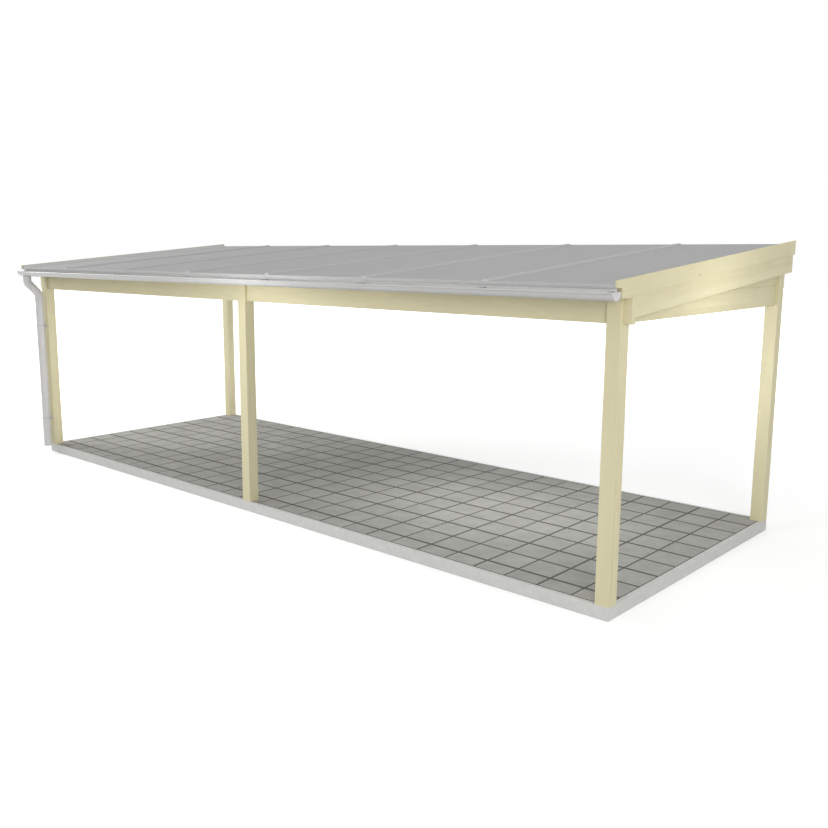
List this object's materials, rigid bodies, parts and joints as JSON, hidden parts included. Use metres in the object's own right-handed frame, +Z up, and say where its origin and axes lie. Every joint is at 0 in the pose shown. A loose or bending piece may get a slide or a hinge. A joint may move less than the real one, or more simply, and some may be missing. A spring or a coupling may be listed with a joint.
{
  "type": "lean-to sunroom frame",
  "caption": "Open timber lean-to sunroom frame on a low base slab, with a shallow multiwall sheet roof, half-round gutter and a downpipe at the left front.",
  "frame": {"origin": "centre of the base slab's underside, at ground level", "axes": "+X along the gutter front to the right, +Y towards the house wall, +Z up"},
  "size_m": [8.431, 3.2883, 2.7291],
  "materials": {
    "timber": "planed, unpainted glued laminated spruce",
    "board": "planed, unpainted boards",
    "slab": "smooth concrete edge with a tiled top",
    "sheet": "grey multiwall sheet",
    "bar": "mill finish",
    "gutter": "light grey coated steel",
    "fixing": "galvanised",
    "seal": "black sealing strip"
  },
  "bodies": {
    "root": {"base_slab": "slab", "post_front_left": "timber", "post_front_middle": "timber", "post_front_right": "timber", "post_back_left": "timber", "post_back_right": "timber", "front_beam_left": "timber", "front_beam_right": "timber", "wall_beam": "timber", "side_beam_left": "timber", "side_beam_right": "timber", "gable_infill_left": "board", "gable_infill_right": "board", "gable_rafter_left": "timber", "gable_rafter_right": "timber", "bargeboard_left": "board", "bargeboard_right": "board", "rafter_1": "timber", "rafter_2": "timber", "rafter_3": "timber", "rafter_4": "timber", "rafter_5": "timber", "rafter_6": "timber", "roof_sheet_1": "sheet", "roof_sheet_2": "sheet", "roof_sheet_3": "sheet", "roof_sheet_4": "sheet", "roof_sheet_5": "sheet", "roof_sheet_6": "sheet", "roof_sheet_7": "sheet", "sealing_strips": "seal", "joint_bars": "bar", "edge_bars": "bar", "eave_profile": "bar", "wall_profile": "bar", "gutter": "gutter", "gutter_end_left": "gutter", "gutter_end_right": "gutter", "gutter_hangers": "fixing", "gutter_outlet": "gutter", "neck_elbow_upper": "gutter", "neck_pipe": "gutter", "neck_elbow_lower": "gutter", "downpipe": "gutter", "pipe_clips": "fixing"}
  },
  "joints": []
}
